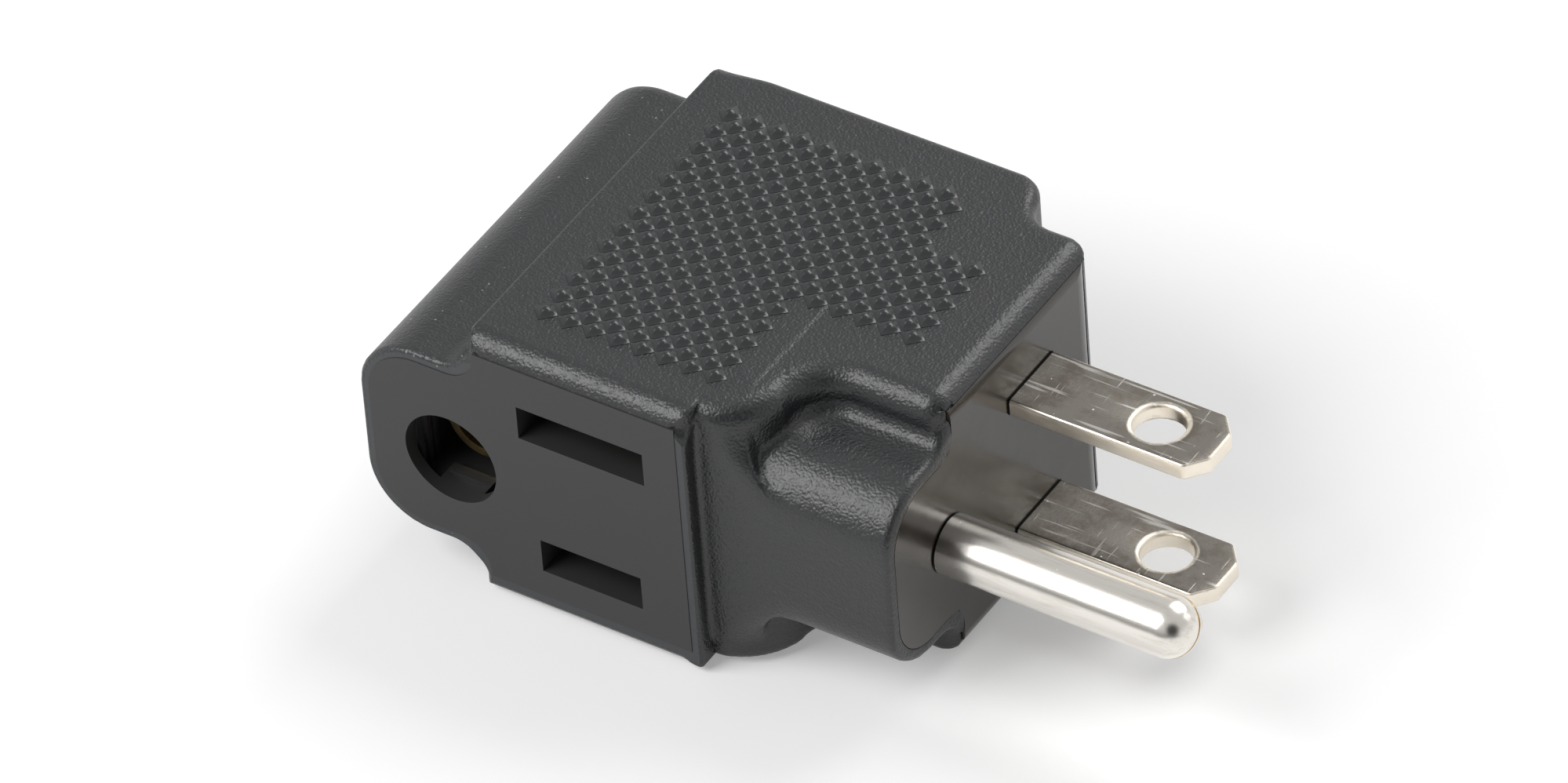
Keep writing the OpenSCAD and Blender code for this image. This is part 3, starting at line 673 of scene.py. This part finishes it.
    def ramp(self, x: Array, y: Array) -> Array:
        """How far the plug's tongue stands higher, towards the outlet block and at the scoop's wall.

        The ramp to the block is straight with a soft start, 0.5 k (d + hypot(d, 0.8 mm)) at distance
        d behind its start. It fades away inside the scoop and inside the round dell at the scoop's
        left end. There the tongue swells by a parabola towards the wall instead.

        Args:
            x: X of the points.
            y: Y of the points.

        Returns:
            Extra height of the tongue.
        """
        d = self.ramp_x - x
        rise = np.minimum(self.ramp_slope * (d + np.hypot(d, 0.8 * MM)) / 2, self.ramp_top)
        dell = np.hypot(x - self.dell[0], y - self.dell[1]) - self.dell_r
        wall = hollowed(self.scoop_wall(x, y), dell, MM)
        share = ease(wall, -0.1 * MM, 0.9 * MM)
        swell = self.swell * np.clip(1 + wall / self.swell_reach, 0, 1) ** 2 * ease(y, -17.5 * MM, -14.5 * MM)
        return rise * share + swell * (1 - share)

    def plug_part(self, x: Array, y: Array, z: Array) -> Array:
        """Everything behind the flank: the rolled plan and the plug's tongue with its ramp."""
        level = np.abs(z - self.middle)
        under = ease(self.middle - z, 0, 2 * MM)
        roll = self.roll - (self.roll - self.back_roll) * np.maximum(ease(y, 5 * MM, self.head_back), under)
        slab = rolled(self.plan(x, y), level - self.half, roll)
        ahead = self.plug_nose + self.tongue_r - y
        above = level - self.ramp(x, y) - self.plug_half + self.tongue_r
        bar = np.minimum(np.maximum(ahead, above), 0) - self.tongue_r
        bar += np.hypot(np.maximum(ahead, 0), np.maximum(above, 0))
        bar = np.maximum.reduce([bar, y, self.right - 6 * MM - x])
        return rolled(hollowed(slab, bar, self.valley), self.plug_nose - y, 0.5 * MM)

    def bridge_seat(self, x: Array, y: Array, z: Array) -> Array:
        """Recess that the plug's bridge fills, wider by a hair for the line round it."""
        rim = self.bridge_rim - self.seam
        head = rounded_rect(y, z, (self.head_front + rim, self.bottom + rim),
                            (self.head_back - rim, self.top - rim), 0)
        bar = rounded_rect(y, z, (self.plug_nose + rim, self.middle - self.plug_half + rim),
                           (0, self.middle + self.plug_half - rim), self.tongue_r - rim)
        return np.maximum(np.minimum(head, bar), -self.bridge_depth - x)

    def core_seat(self, x: Array, y: Array, z: Array) -> Array:
        """Way through for the outlet's core, whose sides lie hidden inside the core's own walls."""
        low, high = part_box("receptacle_core")
        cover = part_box("core_cover")
        wall = 0.65 * MM
        back = (cover[0].y + cover[1].y) / 2 - TO_ROW[1]
        half = cover[1].z - TO_ROW[2] - wall
        narrow = 4.75 * MM
        wide = rounded_rect(x, z, (-33.8 * MM + wall, -half), (cover[1].x - TO_ROW[0] - wall, half), 0)
        neck = rounded_rect(x, z, (cover[0].x - TO_ROW[0] + wall, -narrow), (-30 * MM, narrow), 0)
        return np.maximum(np.minimum(wide, neck), y - back)

    def form(self, x: Array, y: Array, z: Array) -> Array:
        """Both parts joined, with a fillet in the lip between them, cut off at the plug's face."""
        level = np.abs(z - self.middle)
        lip = (self.lip * ease(-y, 19 * MM, 20 * MM) * ease(-level, -self.half + 1.2 * MM, -self.half + 2.4 * MM)
               * ease(x, self.right - 0.5 * MM, self.right))
        both = hollowed(self.outlet_part(x, y, z), self.plug_part(x, y, z), lip)
        high = ease(level, self.plug_half + 0.2 * MM, self.half - 1.6 * MM)
        behind = ease(y, 3 * MM, 7 * MM)
        edge = 0.55 * MM + (self.roll - 0.55 * MM) * np.maximum(high, behind)
        both = rolled(both, x, edge)
        return np.maximum(both, -np.minimum(self.bridge_seat(x, y, z), self.core_seat(x, y, z)))

    def build(self) -> bpy.types.Object:
        """Makes the moulding, which stands for the plain CAD jacket."""
        margin = 0.7 * self.cell
        low = np.array([self.nose, self.front, self.bottom]) - margin
        high = np.array([0, self.back, self.top]) + margin
        points, faces, normals = skin(self.form, low, high, self.cell)
        points = np.clip(points, low + margin, high - margin)
        piece = as_piece("jacket", points, faces, GrainedPlastic().material(), normals)
        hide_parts("outer_jacket")
        return piece


class Side(Enum):
    """Which broad side of the jacket a grip pad stands on."""

    TOP = 1
    UNDER = -1


@dataclass
class GripPad:
    """Pad of small pyramids on a lattice turned by 45 degrees, stepped along the back and the plug."""

    side: Side
    half_pitch: float = 1.05 * MM
    height: float = 0.45 * MM
    groove: float = 0.03 * MM
    sunk: float = 0.15 * MM
    first: tuple[float, float] = (-31.3 * MM, -16.4 * MM)
    columns: int = 14
    rows: int = 24
    back_columns: int = 19
    back_row: int = 19
    plug_columns: int = 24
    plug_row: int = 10
    sides: int = 12

    def places(self) -> Array:
        """Columns and rows of the teeth: every other place of the lattice that is on the pad."""
        i, j = np.meshgrid(np.arange(self.plug_columns + 1), np.arange(self.rows + 1), indexing="ij")
        pad = (i <= self.columns) | ((i <= self.back_columns) & (j >= self.back_row))
        pad |= (j >= self.plug_row) & (j < self.back_row)
        return np.argwhere(pad & ((i + j) % 2 == 0))

    def build(self, jacket: Jacket) -> bpy.types.Object:
        """Makes the pad. A tooth is rings that go from a small circle at its tip to its square foot.

        A ring's radius along angle a is s / (|cos a|^p + |sin a|^p)^(1/p), where p falls from 2 at
        the tip to 1 at the foot.

        Args:
            jacket: The moulding that it stands on.

        Returns:
            The pad.
        """
        share = np.array([0.09, 0.20, 0.30, 0.62, 0.90, 1.0, 1.0])
        power = np.array([2.0, 1.9, 1.5, 1.06, 1.0, 1.0, 1.0])
        rise = np.array([1.00, 0.94, 0.83, 0.42, 0.06, 0.0, 0.0]) * (self.height - self.groove) + self.groove
        rise[-1] = -self.sunk
        a = np.arange(self.sides) * 2 * math.pi / self.sides
        p = power[:, None]
        reach = share[:, None] * self.half_pitch / (np.abs(np.cos(a)) ** p + np.abs(np.sin(a)) ** p) ** (1 / p)
        ring = np.stack([reach * np.cos(a), reach * np.sin(a), np.repeat(rise[:, None], self.sides, 1)], axis=-1)
        centre = np.array(self.first) + self.places() * self.half_pitch
        level = jacket.top if self.side is Side.TOP else jacket.bottom
        points = ring[None] * np.array([1, 1, self.side.value]) + np.zeros((len(centre), 1, 1, 3))
        points[..., :2] += centre[:, None, None, :]
        points[..., 2] += level
        size = len(share) * self.sides
        band = grid_faces(len(share), self.sides, wrap_columns=True)
        start = (np.arange(len(centre)) * size)[:, None]
        tip = start + np.arange(self.sides)
        foot = start + size - 1 - np.arange(self.sides)
        quads = (start[:, None] + band[None]).reshape(-1, 4)[:, ::-1]
        if self.side is Side.UNDER:
            quads, tip, foot = quads[:, ::-1], tip[:, ::-1], foot[:, ::-1]
        rows = quads.tolist() + tip.tolist() + foot.tolist()
        name = "grip_top" if self.side is Side.TOP else "grip_under"
        finish = GrainedPlastic(name=f"{name}_plastic", tone=0.008, gloss=0.22, depth=0.012 * MM)
        piece = as_piece(name, points.reshape(-1, 3), rows, finish.material(), crease=28)
        return piece


def round_corners(corners: Array, r: float, steps: int) -> tuple[Array, Array]:
    """Closed outline with its corners rounded, and the outward normal at each point.

    At a corner the outline follows an arc of radius r between the two sides, which it touches.

    Args:
        corners: Corner points in order, anticlockwise.
        r: Radius of the corners.
        steps: Points on each arc.

    Returns:
        Points and unit normals.
    """
    before, after = np.roll(corners, 1, axis=0), np.roll(corners, -1, axis=0)
    come = (corners - before) / np.linalg.norm(corners - before, axis=1, keepdims=True)
    leave = (after - corners) / np.linalg.norm(after - corners, axis=1, keepdims=True)
    turn = np.arctan2(come[:, 0] * leave[:, 1] - come[:, 1] * leave[:, 0], np.sum(come * leave, axis=1))
    start = np.arctan2(-come[:, 0], come[:, 1])
    angle = start[:, None] + turn[:, None] * np.linspace(0, 1, steps)[None]
    normal = np.stack([np.cos(angle), np.sin(angle)], axis=-1)
    side = np.stack([come[:, 1], -come[:, 0]], axis=1)
    centre = corners - come * (r * np.tan(turn / 2))[:, None] - side * r
    points = centre[:, None] + normal * r
    return points.reshape(-1, 2), normal.reshape(-1, 2)


@dataclass
class Blade:
    """Flat stamped blade with a chamfered tip and a round hole."""

    name: str
    node: str
    level: float
    width: float = 6.35 * MM
    thickness: float = 1.5 * MM
    length: float = 16.35 * MM
    root: float = -4.6 * MM
    tip_length: float = 1.4 * MM
    tip_side: float = 1.7 * MM
    corner: float = 0.6 * MM
    edge: float = 0.24 * MM
    hole: float = 2.0 * MM
    hole_x: float = 11.1 * MM
    hole_edge: float = 0.32 * MM

    def build(self, material: bpy.types.Material) -> bpy.types.Object:
        """Makes the blade as one closed ring from its outline to its hole.

        Each point of the outline has a section: a rounded edge, the flat face, the hole's rounded
        rim and wall, and back along the underside.

        Args:
            material: Its finish.

        Returns:
            The blade.
        """
        w, t = self.width / 2, self.thickness / 2
        corners = np.array([[self.root, -w], [self.length - self.tip_length, -w], [self.length, -w + self.tip_side],
                            [self.length, w - self.tip_side], [self.length - self.tip_length, w], [self.root, w]])
        outline, normal = round_corners(corners, self.corner, 7)
        count = 16
        gap = np.roll(outline, -1, axis=0) - outline
        many = np.where(np.hypot(*gap.T) > MM, count, 1)
        start = np.repeat(np.arange(len(outline)), many)
        step = np.concatenate([np.arange(m) / m for m in many])[:, None]
        follow = (start + 1) % len(outline)
        outline = outline[start] * (1 - step) + outline[follow] * step
        normal = normal[start] * (1 - step) + normal[follow] * step
        centre = np.array([self.hole_x, 0])
        spoke = (outline - centre) / np.linalg.norm(outline - centre, axis=1, keepdims=True)
        arc = np.linspace(0, math.pi / 2, 5)
        rows = [(outline - normal * self.edge * (1 - np.sin(s)), (t - self.edge) + self.edge * np.cos(s))
                for s in arc[::-1]]
        rim = self.hole + self.hole_edge
        flat_in = centre + spoke * rim
        flat_out = rows[-1][0]
        rows += [(flat_out * (1 - s) + flat_in * s, t) for s in (0.3, 0.7)]
        rows += [(centre + spoke * (rim - self.hole_edge * np.sin(s)), (t - self.hole_edge) + self.hole_edge * np.cos(s))
                 for s in arc]
        rows += [(p, -z) for p, z in rows[::-1]]
        points = np.stack([np.column_stack([p, np.full(len(p), z + self.level)]) for p, z in rows])
        faces = grid_faces(len(rows), len(outline), wrap_rows=True, wrap_columns=True)
        piece = as_piece(self.name, points.reshape(-1, 3), faces[:, ::-1], material, crease=60)
        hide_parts(self.node)
        return piece


@dataclass
class GroundPin:
    """Ground pin rolled from sheet, with a seam below and a domed end that the seam splits."""

    radius: float = 2.39 * MM
    root: float = -3.4 * MM
    length: float = 21.2 * MM
    centre_y: float = -11.9 * MM
    slit: float = 0.16 * MM
    slit_depth: float = 0.5 * MM
    step: float = 0.05 * MM
    across: int = 72
    along: int = 26
    around: int = 48

    def build(self) -> bpy.types.Object:
        """Makes the pin from slices along its length, each a bar with a half round end.

        A slice at y = r sin(a) has half height r cos(a). It runs along the top, round the end as
        half a circle and back along the bottom. Near the middle slice the surface sinks into the
        slit, by a bell curve of y, from the tip's upper part round to the whole underside. Last
        the whole bar is turned about its own axis, as the real one sits in the plug.

        Returns:
            The pin.
        """
        turn = np.linspace(-1, 1, self.across + 1)
        a = math.pi / 2 * np.sign(turn) * np.abs(turn) ** 1.35
        y = self.radius * np.sin(a)
        half = self.radius * np.cos(a)
        centre_x = self.length - self.radius
        run = np.linspace(self.root, centre_x, self.along)[:-1]
        bend = np.linspace(0, math.pi, self.around)
        top_x, zero = np.broadcast_to(run, (len(a), len(run))), np.zeros(len(run))
        x = np.concatenate([top_x, centre_x + half[:, None] * np.sin(bend), top_x[:, ::-1]], axis=1)
        lean = np.concatenate([zero, bend, zero + math.pi])
        z = half[:, None] * np.cos(lean)
        bell = np.exp(-((y / (0.5 * self.slit)) ** 4))[:, None]
        sink = bell * self.slit_depth * ease(lean, 0.12 * math.pi, 0.3 * math.pi)[None]
        out = np.stack([np.sin(lean) * (lean > 0) * (lean < math.pi), np.cos(lean)])
        x = x - sink * out[0]
        z = z - sink * out[1]
        shift = self.step * (y > 0)[:, None] * ease(lean, 0.3 * math.pi, 0.5 * math.pi)[None]
        x = x - shift * np.sin(lean)[None]
        y = np.broadcast_to(y[:, None], x.shape)
        cos, sin = math.cos(PIN_TURN), math.sin(PIN_TURN)
        points = np.stack([x, y * cos - z * sin + self.centre_y, y * sin + z * cos], axis=-1)
        faces = grid_faces(*x.shape, wrap_columns=True)
        piece = as_piece("ground_pin_bar", points.reshape(-1, 3), faces[:, ::-1], PinPlate().material(), crease=35)
        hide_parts("ground_pin")
        return piece


@dataclass
class Inside:
    """The CAD nodes that stay as they are and get their finishes here."""

    finishes: dict[str, Finish] = field(default_factory=lambda: {
        "receptacle_core": SatinPlastic(), "core_cover": SatinPlastic(name="cover_plastic", tone=0.02),
        "plug_bridge": GlossyPlastic(), "bridge_clamp": GlossyPlastic(name="clamp_plastic", tone=0.015)})

    def dress(self) -> None:
        """Gives every CAD node that is still shown its finish."""
        brass = SpringBrass().material()
        for name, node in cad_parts.items():
            if node.hide_render:
                continue
            finish = self.finishes.get(name)
            material = finish.material() if finish else brass
            node.data.materials.clear()
            node.data.materials.append(material)
            LOG.info("%s: %s", name, material.name)


# ---- the studio


@dataclass
class SoftBox:
    """Square studio lamp that looks at the adapter."""

    name: str
    place: tuple[float, float, float]
    size: float
    power: float
    warm: float = 0.0

    def build(self) -> None:
        """Hangs the lamp."""
        lamp = bpy.data.lights.new(self.name, "AREA")
        lamp.shape = "SQUARE"
        lamp.size = self.size
        lamp.energy = self.power
        lamp.color = grey(0.95, self.warm)[:3]
        holder = bpy.data.objects.new(self.name, lamp)
        aim = Vector((0, 0, 0.012)) - Vector(self.place)
        holder.matrix_world = Matrix.Translation(self.place) @ aim.to_track_quat("-Z", "Y").to_matrix().to_4x4()
        bpy.context.scene.collection.objects.link(holder)


@dataclass
class Studio:
    """White table, soft lamps and the photograph's camera."""

    table: float = 2.0
    paper: float = 0.8
    glow: float = 0.27
    lens: float = 331.317
    right: tuple[float, float, float] = (0.84369865, 0.53349127, -0.05966278)
    down: tuple[float, float, float] = (0.31736062, -0.58533503, -0.74609995)
    ahead: tuple[float, float, float] = (-0.43296053, 0.61054891, -0.6631555)
    eye: tuple[float, float, float] = (0.45501022, -0.65215314, 0.72097247)
    boxes: tuple[SoftBox, ...] = (
        SoftBox("key_softbox", (-0.29, -0.37, 0.44), 0.4, 3.3),
        SoftBox("side_softbox", (0.55, 0.42, 0.4), 0.3, 0.3),
        SoftBox("back_softbox", (0.12, 0.5, 0.6), 0.45, 3.2))

    def seen(self, net: Net) -> Signal:
        """1 for rays that come from the camera, a reflection or glass, else 0."""
        path = net.node("ShaderNodeLightPath").outputs
        ray = Signal(net, path["Is Camera Ray"])
        return ray.larger(path["Is Glossy Ray"]).larger(path["Is Transmission Ray"])

    def lay_table(self) -> None:
        """Lays the white table, whose own glow is seen only and lights nothing."""
        s = self.table
        mesh = bpy.data.meshes.new("table")
        mesh.from_pydata([(-s, -s, 0), (s, -s, 0), (s, s, 0), (-s, s, 0)], [], [(0, 1, 2, 3)])
        made = bpy.data.materials.new("white_paper")
        made.use_nodes = True
        net = Net(made.node_tree)
        tooth = net.noise(0.8 * MM, 3)
        shader = net.node("ShaderNodeBsdfPrincipled", inputs={
            "Base Color": net.blend(tooth * 0.3, grey(self.paper), grey(self.paper * 0.98)),
            "Roughness": 0.9, "Specular IOR Level": 0.1})
        glow = net.node("ShaderNodeEmission", inputs={"Strength": self.seen(net) * self.glow})
        both = net.node("ShaderNodeAddShader", inputs={0: shader.outputs[0], 1: glow.outputs[0]})
        net.node("ShaderNodeOutputMaterial", inputs={"Surface": both.outputs[0]})
        mesh.materials.append(made)
        table = bpy.data.objects.new("table", mesh)
        bpy.context.scene.collection.objects.link(table)

    def hang_sky(self) -> None:
        """White room: plain white to the camera, dimmer overhead and low in front in reflections.

        In reflections the side that the photograph was taken from is dark.
        """
        world = bpy.data.worlds.new("studio")
        bpy.context.scene.world = world
        world.use_nodes = True
        net = Net(world.node_tree)
        way = net.node("ShaderNodeTexCoord").outputs["Generated"]
        high = net.axis(way, "Z").eased(0.05, 0.45)
        ahead = (0 - net.axis(way, "Y")).eased(0.2, 0.7) * (1 - high)
        path = net.node("ShaderNodeLightPath").outputs
        camera = Signal(net, path["Is Camera Ray"])
        glossy = Signal(net, path["Is Glossy Ray"]).larger(path["Is Transmission Ray"])
        toward = net.axis(way, "X") * 0.6 - net.axis(way, "Y") * 0.65 + net.axis(way, "Z") * 0.47
        room = (1 - high * 0.35 - ahead * 0.75) * (1 - toward.eased(0.88, 0.98) * 0.95)
        strength = camera + (1 - camera) * (glossy * room + (1 - glossy) * 0.22)
        shader = net.node("ShaderNodeBackground", inputs={"Color": (1, 1, 1, 1), "Strength": strength})
        net.node("ShaderNodeOutputWorld", inputs={"Surface": shader.outputs[0]})

    def set_camera(self) -> None:
        """Places the camera at the photograph's view."""
        camera = bpy.data.cameras.new("camera")
        camera.sensor_width = 36
        camera.sensor_fit = "HORIZONTAL"
        camera.lens = self.lens
        camera.clip_end = 10
        holder = bpy.data.objects.new("camera", camera)
        axes = np.array([self.right, [-d for d in self.down], [-a for a in self.ahead], self.eye]).T
        holder.matrix_world = Matrix([[*row] for row in axes] + [[0, 0, 0, 1]])
        bpy.context.scene.collection.objects.link(holder)
        bpy.context.scene.camera = holder

    def build(self) -> None:
        """Builds the whole studio."""
        self.set_camera()
        self.lay_table()
        self.hang_sky()
        for box in self.boxes:
            box.build()
        bpy.context.scene.view_settings.view_transform = "Standard"


def main() -> None:
    """Builds the adapter and the studio, and notes the sizes."""
    logging.basicConfig(level=logging.INFO, format="%(message)s")
    jacket = Jacket()
    jacket.build()
    for side in Side:
        GripPad(side).build(jacket)
    nickel = NickelPlate().material()
    Blade("line_blade_plate", "line_blade", -6.35 * MM).build(nickel)
    Blade("neutral_blade_plate", "neutral_blade", 6.35 * MM).build(nickel)
    GroundPin().build()
    Inside().dress()
    Studio().build()


if __name__ == "__main__":
    main()
